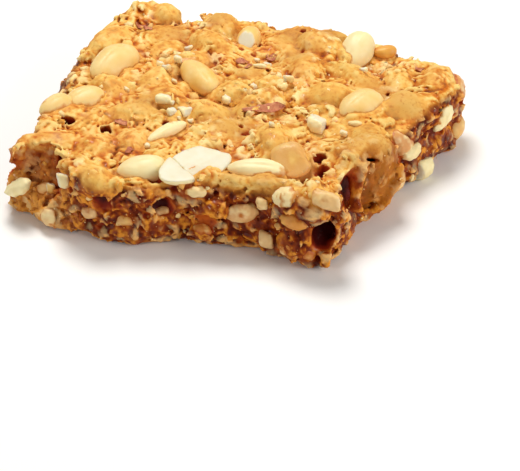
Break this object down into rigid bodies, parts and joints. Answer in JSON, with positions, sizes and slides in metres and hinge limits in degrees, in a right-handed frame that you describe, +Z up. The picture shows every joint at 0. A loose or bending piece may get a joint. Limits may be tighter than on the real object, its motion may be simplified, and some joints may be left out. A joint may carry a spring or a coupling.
{
  "type": "nut brittle piece",
  "caption": "Hand-broken slab of opaque toffee packed with whole, split and broken peanuts, flat underneath, with a rough, folded top and broken sides.",
  "frame": {"origin": "centre of the footprint on the flat underside", "axes": "+Z up out of the top face, +X along the longer edge, -Y towards the front edge that the picture shows"},
  "size_m": [0.1102, 0.0955, 0.024],
  "materials": {
    "toffee": "cooked opaque peanut toffee, satin, glossier and browner on the broken sides",
    "kernels": "roasted blanched peanut kernels, satin",
    "split_faces": "split and broken peanut faces, matt and pale",
    "skins": "papery red-brown peanut skins, matt"
  },
  "bodies": {
    "root": {"nut_brittle_piece": "toffee"}
  },
  "joints": []
}
